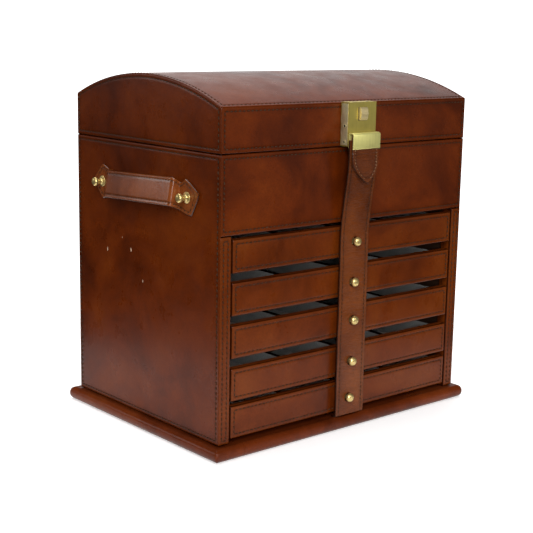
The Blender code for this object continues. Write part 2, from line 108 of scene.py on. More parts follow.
FLOOR_RADIUS = 0.44
CASE_MIDDLE = (0, 0, 0.18)
LAMPS = (  # name, place, size, power and what it is aimed at
    ("key", (-1.5, -1.6, 1.7), 1.1, 46.0, CASE_MIDDLE),
    ("front_low", (-1.25, -1.75, 0.60), 0.6, 18.0, CASE_MIDDLE),
    ("front", (0.3, -2.0, 0.9), 0.9, 9.0, CASE_MIDDLE),
    ("top", (0.1, 0.5, 2.2), 1.5, 40.0, CASE_MIDDLE),
    ("front_card", (1.1, -1.45, 0.35), 0.9, 1.1, CASE_MIDDLE),
    ("back_card", (1.4, 1.3, 1.1), 1.6, 8.0, (0, 0, 0.35)),
    ("side_card", (-1.35, 1.35, 0.62), 0.45, 3.0, (-0.17, 0, 0.25)),
)
# The camera's figures come from solving the perspective of the case's edges.
CAMERA_PLACE = (-0.85017, -0.97842, 0.41246)
CAMERA_YAW, CAMERA_PITCH, CAMERA_ROLL = 0.7119, -0.1991, 0.0187
CAMERA_LENS, CAMERA_SENSOR = 80.65, 36.0

random.seed(7)


# ---- material helpers


class Nodes:
    """Short calls for building one material's node tree."""

    def __init__(self, name):
        self.material = bpy.data.materials.new(name)
        self.material.use_nodes = True
        self.tree = self.material.node_tree
        self.shader = self.tree.nodes["Principled BSDF"]

    def add(self, kind, **settings):
        node = self.tree.nodes.new(kind)
        for key, value in settings.items():
            setattr(node, key, value)
        return node

    def join(self, out, into):
        self.tree.links.new(out, into)

    def set(self, **values):
        for key, value in values.items():
            self.shader.inputs[key.replace("_", " ")].default_value = value

    def coords(self, scale=(1, 1, 1)):
        place = self.add("ShaderNodeTexCoord")
        mapping = self.add("ShaderNodeMapping")
        mapping.inputs["Scale"].default_value = scale
        self.join(place.outputs["Object"], mapping.inputs["Vector"])
        return mapping.outputs["Vector"]

    def noise(self, vector, scale, detail=3.0, rough=0.55, distort=0.0):
        node = self.add("ShaderNodeTexNoise")
        node.inputs["Scale"].default_value = scale
        node.inputs["Detail"].default_value = detail
        node.inputs["Roughness"].default_value = rough
        node.inputs["Distortion"].default_value = distort
        self.join(vector, node.inputs["Vector"])
        return node.outputs["Fac"]

    def cells(self, vector, scale):
        node = self.add("ShaderNodeTexVoronoi")
        node.inputs["Scale"].default_value = scale
        self.join(vector, node.inputs["Vector"])
        return node.outputs["Distance"]

    def ramp(self, value, stops):
        node = self.add("ShaderNodeValToRGB")
        elements = node.color_ramp.elements
        while len(elements) < len(stops):
            elements.new(0.5)
        for element, (at, colour) in zip(elements, stops):
            element.position = at
            element.color = (*(colour if isinstance(colour, tuple) else (colour,) * 3), 1.0)
        self.join(value, node.inputs["Fac"])
        return node.outputs["Color"]

    def mix(self, factor, a, b):
        node = self.add("ShaderNodeMix", data_type="RGBA")
        for index, value in ((0, factor), (6, a), (7, b)):
            if isinstance(value, (int, float)):
                node.inputs[index].default_value = value if index == 0 else (value, value, value, 1.0)
            elif isinstance(value, tuple):
                node.inputs[index].default_value = (*value, 1.0)
            else:
                self.join(value, node.inputs[index])
        return node.outputs[2]

    def math(self, operation, a, b=0.0):
        node = self.add("ShaderNodeMath", operation=operation)
        for index, value in ((0, a), (1, b)):
            if isinstance(value, (int, float)):
                node.inputs[index].default_value = value
            else:
                self.join(value, node.inputs[index])
        return node.outputs[0]

    def bump(self, height, strength, distance, normal=None):
        node = self.add("ShaderNodeBump")
        node.inputs["Strength"].default_value = strength
        node.inputs["Distance"].default_value = distance
        self.join(height, node.inputs["Height"])
        if normal is not None:
            self.join(normal, node.inputs["Normal"])
        return node.outputs["Normal"]


def scaled(colour, factor):
    return tuple(v * factor for v in colour)


def leather(name, dark, mid, light, rough=0.30, grain=0.5, creases=0.0, coat=0.05):
    """Glazed vegetable-tanned leather: clouded dye, pores, scuffs, darker edges, and painted shade along
    the stitch grooves.
    """
    n = Nodes(name)
    at = n.coords()
    clouds = n.noise(at, 11.0, 4.0, 0.6, 0.6)
    colour = n.ramp(clouds, [(0.30, dark), (0.52, mid), (0.78, light)])
    mottle = n.noise(at, 85.0, 5.0, 0.65)
    colour = n.mix(n.ramp(mottle, [(0.35, 0.0), (0.80, 0.34)]), colour, dark)
    fine = n.noise(at, 520.0, 4.0, 0.7)
    colour = n.mix(n.ramp(fine, [(0.42, 0.0), (0.72, 0.35)]), colour, scaled(dark, 0.55))
    stains = n.noise(n.coords((1.0, 1.0, 0.35)), 22.0, 5.0, 0.7, 1.2)
    colour = n.mix(n.ramp(stains, [(0.56, 0.0), (0.80, 0.26)]), colour, scaled(dark, 0.5))
    edge = n.add("ShaderNodeAttribute", attribute_name="edge").outputs["Fac"]
    ragged = n.math("ADD", edge, n.math("MULTIPLY", n.math("SUBTRACT", mottle, 0.5), 0.9))
    worn_stops = [(0.06, 0.0), (0.12, 0.30), (0.24, 0.12), (0.32, 0.0)]
    worn = n.ramp(n.math("MULTIPLY", ragged, 0.1), worn_stops)
    colour = n.mix(worn, colour, light)
    # Darker right at the edge, and a dark line along the stitch groove that is painted shade in the groove.
    dark_edge_and_groove_shade_stops = [(0.02, 0.95), (0.075, 0.25), (0.34, 0.16), (0.43, 0.55), (0.52, 0.16), (1.0, 0.0)]
    dark_edge_and_groove_shade = n.ramp(n.math("MULTIPLY", ragged, 0.1), dark_edge_and_groove_shade_stops)
    colour = n.mix(dark_edge_and_groove_shade, colour, scaled(dark, 0.25))
    n.join(colour, n.shader.inputs["Base Color"])
    scuffs = n.noise(n.coords((1.0, 1.0, 0.15)), 160.0, 4.0, 0.7)
    roughness = n.ramp(n.noise(at, 45.0, 4.0), [(0.3, rough * 0.82), (0.7, rough * 1.25)])
    roughness = n.mix(n.ramp(scuffs, [(0.55, 0.0), (0.8, 0.35)]), roughness, 0.55)
    n.join(roughness, n.shader.inputs["Roughness"])
    normal = n.bump(n.cells(at, 1100.0), 0.14 * grain, 0.0004)
    normal = n.bump(fine, 0.22 * grain, 0.0006, normal)
    normal = n.bump(n.noise(at, 60.0, 3.0, 0.5), 0.16 * grain, 0.0022, normal)
    if creases:
        wrinkles = n.noise(n.coords((0.35, 1.0, 2.2)), 150.0, 4.0, 0.65, 2.0)
        normal = n.bump(n.ramp(wrinkles, [(0.40, 0.0), (0.52, 1.0)]), creases, 0.0010, normal)
    n.join(normal, n.shader.inputs["Normal"])
    n.set(Coat_Weight=coat, Coat_Roughness=0.18, Specular_IOR_Level=0.10)
    return n.material


def brass(name, colour, rough, brushed=(1, 1, 1), tarnish=0.25, metallic=0.85):
    """Lacquered brass with a fine brushed grain and darker tarnish in patches."""
    n = Nodes(name)
    at = n.coords()
    patches = n.noise(at, 120.0, 4.0, 0.6)
    dark = scaled(colour, 0.55)
    tone = n.mix(n.ramp(patches, [(0.45, 0.0), (0.75, tarnish)]), colour, dark)
    grain = n.noise(n.coords(brushed), 500.0, 3.0, 0.6)
    tone = n.mix(n.ramp(grain, [(0.35, 0.0), (0.75, 0.22)]), tone, dark)
    n.join(tone, n.shader.inputs["Base Color"])
    n.join(n.ramp(grain, [(0.3, rough * 0.8), (0.7, rough * 1.3)]), n.shader.inputs["Roughness"])
    n.join(n.bump(grain, 0.12, 0.0003), n.shader.inputs["Normal"])
    n.set(Metallic=metallic)
    return n.material


def suede(name, colour):
    """Short-napped lining: fine fibre noise, a soft sheen and brushed patches."""
    n = Nodes(name)
    at = n.coords()
    nap = n.noise(at, 900.0, 4.0, 0.8)
    patches = n.noise(n.coords((1.0, 0.6, 1.0)), 35.0, 3.0)
    tone = n.mix(n.ramp(nap, [(0.35, 0.0), (0.7, 0.7)]), colour, scaled(colour, 2.1))
    tone = n.mix(n.ramp(patches, [(0.4, 0.0), (0.65, 0.5)]), tone, scaled(colour, 0.6))
    n.join(tone, n.shader.inputs["Base Color"])
    n.join(n.bump(nap, 0.5, 0.0006), n.shader.inputs["Normal"])
    n.set(Roughness=0.95, Sheen_Weight=0.35, Sheen_Roughness=0.5)
    return n.material


def wood(name, dark, light):
    """Stained hardwood with its grain along the depth of the case."""
    n = Nodes(name)
    grain = n.noise(n.coords((1.0, 0.06, 1.0)), 260.0, 5.0, 0.65, 0.8)
    pores = n.noise(n.coords((1.0, 0.03, 1.0)), 900.0, 2.0)
    n.join(n.ramp(grain, [(0.3, dark), (0.7, light)]), n.shader.inputs["Base Color"])
    n.join(n.bump(pores, 0.25, 0.0004), n.shader.inputs["Normal"])
    n.set(Roughness=0.5)
    return n.material


def thread(name, colour):
    """Waxed linen thread with its twist."""
    n = Nodes(name)
    at = n.coords()
    worn = n.noise(at, 330.0, 2.0)
    tone = n.ramp(worn, [(0.35, scaled(colour, 0.45)), (0.7, colour)])
    n.join(tone, n.shader.inputs["Base Color"])
    n.join(n.bump(n.noise(at, 2500.0, 2.0), 0.4, 0.0003), n.shader.inputs["Normal"])
    n.set(Roughness=0.85, Specular_IOR_Level=0.1)
    return n.material


def plain_floor(name):
    """A pale floor that glows a little."""
    n = Nodes(name)
    n.set(Base_Color=(0.90, 0.90, 0.90, 1.0), Roughness=0.7, Specular_IOR_Level=0.2)
    n.set(Emission_Color=(1.0, 1.0, 1.0, 1.0), Emission_Strength=0.35)
    return n.material


LEATHER = leather("case_leather", (0.046, 0.0066, 0.0007), (0.110, 0.0170, 0.0012), (0.160, 0.030, 0.0026))
FRONT_LEATHER = leather(
    "drawer_leather", (0.056, 0.0088, 0.0009), (0.126, 0.0220, 0.0018), (0.178, 0.039, 0.0042)
)
STRAP_LEATHER = leather(
    "strap_leather", (0.066, 0.0135, 0.0026), (0.150, 0.0350, 0.0062), (0.215, 0.058, 0.0120),
    rough=0.38, grain=0.9, creases=0.5, coat=0.15,
)
HANDLE_LEATHER = leather(
    "handle_leather", (0.090, 0.018, 0.0030), (0.205, 0.048, 0.0095), (0.270, 0.075, 0.018),
    rough=0.24, grain=0.9, coat=0.45,
)
BASE_LEATHER = leather(
    "base_leather", (0.052, 0.0085, 0.0016), (0.130, 0.0225, 0.0038), (0.190, 0.041, 0.0075)
)
# Near-black material of the divider caps: painted shade standing in for the shadow on the dividers.
DIVIDER_PAINTED_SHADE = leather(
    "divider_painted_shade", (0.012, 0.006, 0.004), (0.024, 0.012, 0.008), (0.040, 0.020, 0.012), rough=0.5
)
LOCK_BRASS = brass("lock_brass", (0.53, 0.43, 0.105), 0.40, (1, 1, 0.06))
CHEEK_BRASS = brass("cheek_brass", (0.68, 0.61, 0.36), 0.50, (1, 1, 1), 0.5)
CLIP_BRASS = brass("clip_brass", (1.0, 0.93, 0.33), 0.38, (1, 1, 0.06), 0.12, 0.72)
THUMB_BRASS = brass("thumb_brass", (0.86, 0.70, 0.36), 0.46, (1, 1, 1), 0.3)
STUD_BRASS = brass("stud_brass", (0.66, 0.50, 0.20), 0.34, (1, 1, 1), 0.18)
HINGE_BRASS = brass("hinge_brass", (0.42, 0.33, 0.13), 0.35, (0.05, 1, 1), 0.35)
# Near-black steel for the screws and rivet cores; on the plates beside the lock's button it is painted
# shade for the slot.
DARK_STEEL_AND_SHADE = brass("dark_steel_and_painted_shade", (0.05, 0.047, 0.043), 0.45)
SUEDE = suede("grey_suede", (0.230, 0.228, 0.220))
WOOD = wood("runner_wood", (0.020, 0.008, 0.004), (0.050, 0.022, 0.011))
THREAD = thread("brown_thread", (0.062, 0.031, 0.017))
RAW_HIDE = thread("raw_hide", (0.62, 0.43, 0.30))
TAN_THREAD = thread("tan_thread", (0.30, 0.165, 0.090))


# ---- mesh helpers


def link(name, data):
    obj = bpy.data.objects.new(name, data)
    bpy.context.scene.collection.objects.link(obj)
    return obj


def mesh_from(name, bm):
    """A mesh holding what the bmesh holds; the bmesh is let go."""
    mesh = bpy.data.meshes.new(name)
    bm.to_mesh(mesh)
    bm.free()
    return mesh


def new_piece(name, verts, faces, material, body, replaces=(), smooth=35, edges=None):
    """Makes a mesh piece that rides on a body; edges gives each vertex's distance from the panel's edge."""
    mesh = bpy.data.meshes.new(name)
    mesh.from_pydata([tuple(v) for v in verts], [], faces)
    if edges:
        mesh.attributes.new("edge", "FLOAT", "POINT").data.foreach_set("value", edges)
    return finish_mesh(name, mesh, material, body, replaces, smooth)


def smooth_shade(mesh, angle):
    """Shades a mesh smooth, apart from edges that turn by more than an angle in degrees."""
    mesh.shade_smooth()
    mesh.set_sharp_from_angle(angle=math.radians(angle))


def finish_mesh(name, mesh, material, body, replaces=(), smooth=35):
    bm = bmesh.new()
    bm.from_mesh(mesh)
    bmesh.ops.recalc_face_normals(bm, faces=bm.faces)
    bm.to_mesh(mesh)
    bm.free()
    mesh.materials.append(material)
    obj = link(name, mesh)
    smooth_shade(mesh, smooth)
    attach(obj, body)
    if replaces:
        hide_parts(*replaces)
    return obj


def grid_faces(rows, columns):
    """Faces of a closed slab whose outer and inner grids share only their walls."""
    faces, inner = [], rows * columns
    for i in range(rows - 1):
        for j in range(columns - 1):
            a, b = i * columns + j, (i + 1) * columns + j
            faces.append((a, a + 1, b + 1, b))
            faces.append((inner + a, inner + b, inner + b + 1, inner + a + 1))
    border = list(range(columns))
    border += [i * columns + columns - 1 for i in range(1, rows)]
    border += [(rows - 1) * columns + j for j in range(columns - 2, -1, -1)]
    border += [i * columns for i in range(rows - 2, 0, -1)]
    for a, b in zip(border, border[1:] + border[:1]):
        faces.append((a, inner + a, inner + b, b))
    return faces


def slab(name, outer, inner, rows, edges, under, material, body, replaces, smooth=35):
    """A closed piece from its outer and inner grids; under is the edge distance of the inner grid."""
    faces = grid_faces(rows, len(outer) // rows)
    edges = edges + [under] * len(inner)
    return new_piece(name, outer + inner, faces, material, body, replaces, smooth, edges)


def edge_profile(style, thickness):
    """(distance in from the edge, height) from the underside of an edge up onto the panel's face."""
    turn = math.radians(45 if style == "mitre" else 90)
    points = []
    steps = 4
    for index in range(steps + 1):
        angle = turn * (1 - index / steps)
        points.append((EDGE_ROUND * (1 - math.sin(angle)), -EDGE_ROUND * (1 - math.cos(angle))))
    first_in, first_down = points[0]
    if style == "mitre":
        return [(first_in + MITRE_DEPTH, first_down - MITRE_DEPTH)] + points
    return [(first_in, -thickness)] + points


def edge_round(share):
    """Height of a rounded edge, from 0 at the very edge to 1 where the round ends, at a share of 1."""
    return math.sqrt(max(0.0, 1 - (1 - min(share, 1)) ** 2))


def groove(distance):
    """Depth of the channel that the stitches lie in, at a distance from the edge."""
    off = abs(distance - STITCH_IN) / GROOVE_HALF
    return -GROOVE * (1 + math.cos(math.pi * off)) / 2 if off < 1 else 0.0


def lines(length, low_style, high_style, thickness, spacing):
    """The grid's lines across one direction: (position, height, distance from the nearer edge)."""
    inner = [STITCH_IN + offset * MM for offset in (-1.1, -0.55, 0, 0.55, 1.1, 2.6)]
    side = []
    for style in (low_style, high_style):
        under, *rim = edge_profile(style, thickness)
        run = [(*under, HIDDEN * MM)] + [(d, h, d) for d, h in rim]
        side.append(run + [(d, 0.0, d) for d in inner])
    start, end = side[0][-1][0], length - side[1][-1][0]
    count = max(1, round((end - start) / spacing))
    middle = []
    for k in range(1, count):
        at = start + (end - start) * k / count
        middle.append((at, 0.0, min(at, length - at)))
    return side[0] + middle + [(length - d, h, e) for d, h, e in reversed(side[1])]


def panel(name, size, place, styles, thickness, material, body, replaces, crown=CROWN, spacing=14 * MM):
    """A leather-covered panel. place(u, v, h) turns a point of the flat panel into a point in space;
    styles are its edges' shapes at low u, high u, low v and high v."""
    us = lines(size[0], styles[0], styles[1], thickness, spacing)
    vs = lines(size[1], styles[2], styles[3], thickness, spacing)
    outer, inner, edges = [], [], []
    for u, hu, du in us:
        for v, hv, dv in vs:
            d = min(du, dv)
            swell = crown * (1 - (2 * u / size[0] - 1) ** 4) * (1 - (2 * v / size[1] - 1) ** 4)
            on_face = min(hu, hv) > -thickness / 2
            h = max(-thickness, hu + hv) + (groove(d) + swell if on_face else 0)
            outer.append(place(u, v, h - crown))
            inner.append(place(u, v, -thickness - crown))
            edges.append(d / MM)
    slab(name, outer, inner, len(us), edges, HIDDEN, material, body, replaces)


def capsule(centre, along, out, length, width):
    """One stitch: a low ellipsoid lying along a direction on the surface."""
    side = out.cross(along)
    verts, faces = [], []
    rings, around = ((-0.5, 0.25), (-0.36, 0.8), (0.0, 1.0), (0.36, 0.8), (0.5, 0.25)), 6
    for t, wide in rings:
        for k in range(around):
            angle = math.tau * k / around
            offset = side * math.cos(angle) * width / 2 * wide + out * math.sin(angle) * width * 0.55 * wide
            verts.append(centre + along * length * t + offset)
    for r in range(len(rings) - 1):
        for k in range(around):
            a, b = r * around + k, r * around + (k + 1) % around
            faces.append((a, b, b + around, a + around))
    faces.append(tuple(range(around))[::-1])
    faces.append(tuple((len(rings) - 1) * around + k for k in range(around)))
    return verts, faces


def stitches(name, runs, material, body, pitch=STITCH_PITCH, width=STITCH_WIDTH, slant=10.0):
    """Stitches along runs; each run is (function of t from 0 to 1 giving (point, outward), its length)."""
    verts, faces = [], []
    for path, length in runs:
        count = max(2, round(length / pitch))
        for k in range(count):
            t = (k + 0.5) / count
            step = 0.35 / count
            here, out = path(t)
            along = (path(t + step)[0] - path(t - step)[0]).normalized()
            out = (out - along * out.dot(along)).normalized()
            tilt = math.radians(slant + random.uniform(-3, 3))
            along = along * math.cos(tilt) + out.cross(along) * math.sin(tilt)
            size = (length / count) * random.uniform(0.54, 0.64)
            piece_verts, piece_faces = capsule(here, along, out, size, width)
            base = len(verts)
            verts += piece_verts
            faces += [tuple(base + i for i in face) for face in piece_faces]
    return new_piece(name, verts, faces, material, body, smooth=60)


def surface_run(place, start, end, height):
    """A straight run on a panel, from (u, v) to (u, v), for stitches()."""

    def path(t):
        u, v = start[0] + (end[0] - start[0]) * t, start[1] + (end[1] - start[1]) * t
        here = Vector(place(u, v, height))
        return here, (Vector(place(u, v, height + MM)) - here).normalized()

    spots = [path(k / 8)[0] for k in range(9)]
    return path, sum((b - a).length for a, b in zip(spots, spots[1:]))


def frame_runs(size, place, height):
    """The four straight runs of a stitched frame on a panel."""
    (w, h), d = size, STITCH_IN
    low_left, high_left, high_right, low_right = (d, d), (d, h - d), (w - d, h - d), (w - d, d)
    runs = ((low_left, high_left), (high_right, low_right), (low_right, low_left), (high_left, high_right))
    return [surface_run(place, start, end, height) for start, end in runs]


def stitched_panel(name, size, place, styles, thickness, material, body, replaces, lift=0.28 * MM, **more):
    """A panel with stitches in its groove; lift is how far they stand off the groove's floor."""
    panel(name, size, place, styles, thickness, material, body, replaces, **more)
    height = -GROOVE - more.get("crown", CROWN) + lift
    stitches(f"{name}_stitches", frame_runs(size, place, height), THREAD, body)


def lathe(name, points, at, axis, material, body, replaces=(), steps=40, rounding=0.0):
    """A turned piece from (radius, height) points in millimetres, whose ends lie on the axis."""
    profile = [(radius * MM, height * MM) for radius, height in points]
    if rounding:
        profile = rounded_profile(profile, rounding)
    turn = Vector((0, 0, 1)).rotation_difference(Vector(axis)).to_matrix()
    verts, rings = [], []
    for radius, height in profile:
        count = 1 if radius == 0 else steps
        rings.append((len(verts), count))
        for k in range(count):
            angle = math.tau * k / steps
            spot = Vector((radius * math.cos(angle), radius * math.sin(angle), height))
            verts.append(Vector(at) + turn @ spot)
    faces = []
    for (a, na), (b, nb) in zip(rings, rings[1:]):
        for k in range(steps):
            n = (k + 1) % steps
            if na == 1:
                faces.append((a, b + k, b + n))
            elif nb == 1:
                faces.append((a + k, b, a + n))
            else:
                faces.append((a + k, b + k, b + n, a + n))
    return new_piece(name, verts, faces, material, body, replaces, smooth=30)


def rounded_profile(points, radius, steps=4):
    """Rounds the corners of a (radius, height) profile, leaving its two ends."""
    made = [points[0]]
    for before, corner, after in zip(points, points[1:], points[2:]):
        c = Vector(corner)
        a, b = Vector(before) - c, Vector(after) - c
        reach = min(radius, a.length * 0.45, b.length * 0.45)
        start, end = c + a.normalized() * reach, c + b.normalized() * reach
        for k in range(steps + 1):
            t = k / steps
            made.append(tuple(start * (1 - t) ** 2 + c * 2 * t * (1 - t) + end * t**2))
    return made + [points[-1]]


def block(name, low, high, material, body, bevel, replaces=()):
    """A block with rounded edges."""
    bm = bmesh.new()
    size, middle = Vector(high) - Vector(low), (Vector(high) + Vector(low)) / 2
    bmesh.ops.create_cube(bm, size=1.0, matrix=Matrix.Translation(middle) @ Matrix.Diagonal((*size, 1.0)))
    bmesh.ops.bevel(bm, geom=bm.edges[:], offset=bevel, segments=3, affect="EDGES", profile=0.5)
    return finish_mesh(name, mesh_from(name, bm), material, body, replaces, smooth=40)


def extruded(name, outline, start, end, material, body, bevel, replaces=(), smooth=40):
    """An outline of (y, z) points, extruded along X from start to end, its edges rounded by the bevel."""
    bm = bmesh.new()
    low = [bm.verts.new((start, y, z)) for y, z in outline]
    high = [bm.verts.new((end, y, z)) for y, z in outline]
    bm.faces.new(low)
    bm.faces.new(high[::-1])
    for k in range(len(outline)):
        n = (k + 1) % len(outline)
        bm.faces.new((low[k], high[k], high[n], low[n]))
    bmesh.ops.recalc_face_normals(bm, faces=bm.faces)
    if bevel:
        rims = [e for e in bm.edges if len(e.link_faces) == 2 and e.calc_face_angle() > math.radians(30)]
        bmesh.ops.bevel(bm, geom=rims, offset=bevel, segments=2, affect="EDGES", profile=0.5)
    return finish_mesh(name, mesh_from(name, bm), material, body, replaces, smooth)


# ---- the body's panels


def front_place(x0, z0, sign=1):
    """A panel on the front: u runs along +X (or -X with sign -1), v up, h forward."""
    return lambda u, v, h: (x0 + sign * u, FRONT - h, z0 + v)


def side_place(sign, z0):
    """A panel on the left (sign -1) or right side: u runs back from the front edge."""
    return lambda u, v, h: (sign * (X_OUT + h), FRONT + u, z0 + v)


def back_place(x0, z0):
    """A panel on the back: u runs along +X, v up, h backward."""
    return lambda u, v, h: (x0 + u, BACK + h, z0 + v)


def make_nicks():
    """A few small pale nicks high on the left panel, where the dye is scraped off."""
    draw = random.Random(5)
    height = LID_LOW - BODY_LOW
    verts, faces = [], []
    for _ in range(NICKS):
        back = FRONT + draw.uniform(0.25, 0.80) * (BACK - FRONT)
        at = Vector((-X_OUT - 0.02 * MM, back, BODY_LOW + draw.uniform(0.45, 0.66) * height))
        long = draw.uniform(1.6, 4.6) * MM
        lean = Vector((0, draw.uniform(-0.3, 0.3), 1)).normalized()
        piece_verts, piece_faces = capsule(at, lean, Vector((-1, 0, 0)), long, long * 0.45)
        faces += [tuple(len(verts) + i for i in face) for face in piece_faces]
        verts += [Vector((at.x + (v.x - at.x) * 0.35, v.y, v.z)) for v in piece_verts]
    new_piece("side_nicks", verts, faces, RAW_HIDE, "case", smooth=60)


def make_body():
    height = SEAM - BODY_LOW
    for side, sign in SIDES:
        stitched_panel(
            f"side_cover_{side}", (BACK - FRONT, height), side_place(sign, BODY_LOW), WRAPPED, BOARD,
            LEATHER, "case", [f"side_panel_{side}"],
        )
        stitched_panel(
            f"post_cover_{side}", (X_OUT - POST_X, POST_TOP - BODY_LOW),
            front_place(sign * X_OUT, BODY_LOW, -sign), ("mitre", "square", "square", "square"), POST_BOARD,
            FRONT_LEATHER, "case", [f"post_{side}"], crown=0.1 * MM,
        )
    stitched_panel(
        "fascia_cover", (2 * X_OUT, SEAM - FASCIA_LOW), front_place(-X_OUT, FASCIA_LOW), WRAPPED, BOARD,
        LEATHER, "case", ["front_fascia"],
    )
    stitched_panel(
        "back_cover", (2 * X_OUT, height), back_place(-X_OUT, BODY_LOW), WRAPPED, BOARD, LEATHER, "case",
        ["back_panel"],
    )


# ---- lid


def dome_z(y):
    """Height of the lid's top at a distance back from the case's middle."""
    return ARC_Z + math.sqrt(ARC_R**2 - y**2)


def lid_end_place(sign):
    """u runs back from the front edge; v is stretched between two bands so that its top follows the arc."""
    flat, band = LID_CORNER - LID_LOW, 8 * MM

    def place(u, v, h):
        y = FRONT + u
        top = dome_z(min(max(y, FRONT), BACK)) - LID_LOW
        if v < band:
            stretched = v
        elif v > flat - band:
            stretched = top - (flat - v)
        else:
            stretched = band + (v - band) * (top - 2 * band) / (flat - 2 * band)
        return (sign * (X_OUT + h), y, LID_LOW + stretched)

    return place


def lid_top_place():
    """u runs along +X from the left end, v along the arc from the front."""
    half_angle = math.asin(BACK / ARC_R)

    def place(u, v, h):
        angle = -half_angle + v / ARC_R
        radius = ARC_R + h
        return (-X_OUT + u, radius * math.sin(angle), ARC_Z + radius * math.cos(angle))

    return place, 2 * half_angle * ARC_R


def make_lid():
    height = LID_CORNER - LID_LOW
    for side, sign in SIDES:
        stitched_panel(
            f"lid_end_cover_{side}", (BACK - FRONT, height), lid_end_place(sign), LID_EDGES, BOARD,
            LEATHER, "lid", [f"lid_end_{side}"], spacing=8 * MM,
        )
    for side, place in (("front", front_place(-X_OUT, LID_LOW)), ("back", back_place(-X_OUT, LID_LOW))):
        stitched_panel(
            f"lid_{side}_cover", (2 * X_OUT, height), place, LID_EDGES, BOARD, LEATHER, "lid",
            [f"lid_{side}"],
        )
    place, arc = lid_top_place()
    stitched_panel(
        "lid_top_cover", (2 * X_OUT, arc), place, ("mitre",) * 4, LID_BOARD, LEATHER, "lid", ["lid_top"],
        lift=-0.06 * MM, spacing=9 * MM,
    )


# ---- base


def make_base():
    """The wrapped bullnose board: rings of a rounded rectangle, drawn in from its widest outline."""
    high = BOXES["base_board"][1]
    top = high[2]
    nose = top / 2
    rings = [(16 * MM, 0.0), (nose * 0.9, 0.0)]
    for k in range(1, 14):
        angle = math.pi * k / 14
        rings.append((nose * 0.92 * (1 - math.sin(angle)), nose * (1 - math.cos(angle))))
    rings += [(nose * 0.95, top), (8.0 * MM, top - 0.35 * MM)]
    rings += [(9.0 * MM, top - 0.5 * MM), (16 * MM, top - 0.5 * MM)]
    foot_x = BOXES["strap"][1][0]
    verts, edges = [], []
    for inset, z in rings:
        radius = max(3.0 * MM - inset, 0.6 * MM)
        for x, y, nx, ny in rounded_rectangle(high[0] - inset, high[1] - inset, radius):
            swell = noise.noise(Vector((x, y, 0)) * 28) * 0.45 * MM
            dent = min(swell, 0.0) * 0.5
            lift = 0.0
            if y < FRONT + 4 * MM and z > nose * 1.2:
                for edge_x in (-foot_x, foot_x):
                    lift += 1.1 * MM * math.exp(-(((x - edge_x) / (3.2 * MM)) ** 2))
                lift -= 0.5 * MM * math.exp(-((x / (foot_x * 0.8)) ** 6))
            verts.append((x + nx * dent, y + ny * dent, max(0.0, z + (swell + lift if z > nose else 0))))
            edges.append(9.0 - 4 * abs(z - nose) / nose)
    count = len(verts) // len(rings)
    faces = []
    for r in range(len(rings) - 1):
        for k in range(count):
            n = (k + 1) % count
            a, b = r * count, (r + 1) * count
            faces.append((a + k, a + n, b + n, b + k))
    faces.append(tuple(range(count))[::-1])
    faces.append(tuple((len(rings) - 1) * count + k for k in range(count)))
    new_piece("base_cover", verts, faces, BASE_LEATHER, "case", ["base_board"], 50, edges)


def rounded_rectangle(half_x, half_y, radius):
    """Points (x, y, outward x, outward y) round a rectangle; their number doesn't depend on its size."""
    spacing, corner_steps = 4.0 * MM, 5
    along_x_count, along_y_count = round(2 * X_OUT / spacing), round((BACK - FRONT) / spacing)
    corners = ((1, -1), (1, 1), (-1, 1), (-1, -1))
    points = []
    for quarter, (sx, sy) in enumerate(corners):
        for k in range(corner_steps + 1):
            angle = math.radians(-90 + 90 * quarter + 90 * k / corner_steps)
            c, s = math.cos(angle), math.sin(angle)
            points.append((sx * (half_x - radius) + radius * c, sy * (half_y - radius) + radius * s, c, s))
        along_y = quarter % 2 == 0
        x0, y0, nx, ny = points[-1]
        next_sx, next_sy = corners[(quarter + 1) % 4]
        x1 = next_sx * half_x if along_y else next_sx * (half_x - radius)
        y1 = next_sy * (half_y - radius) if along_y else next_sy * half_y
        count = along_y_count if along_y else along_x_count
        for k in range(1, count):
            t = k / count
            points.append((x0 + (x1 - x0) * t, y0 + (y1 - y0) * t, nx, ny))
    return points


# ---- drawers


def knob_middle(number):
    low, high = BOXES[f"drawer_{number}_knob"]
    return (low[0] + high[0]) / 2, (low[2] + high[2]) / 2


def make_drawer(number):
    body = f"drawer_{number}"
    low, high = BOXES[f"{body}_front"]
    stitched_panel(
        f"{body}_cover", (high[0] - low[0], high[2] - low[2]), front_place(low[0], low[2]), ("square",) * 4,
        high[1] - low[1], FRONT_LEATHER, body, [f"{body}_front"], crown=0.3 * MM,
    )
    x, z = knob_middle(number)
    lathe(
        f"{body}_stud", KNOB_PROFILE, (x, FRONT, z), (0, -1, 0), STUD_BRASS, body, [f"{body}_knob"],
        rounding=1.1 * MM,
    )
    make_tray(body)


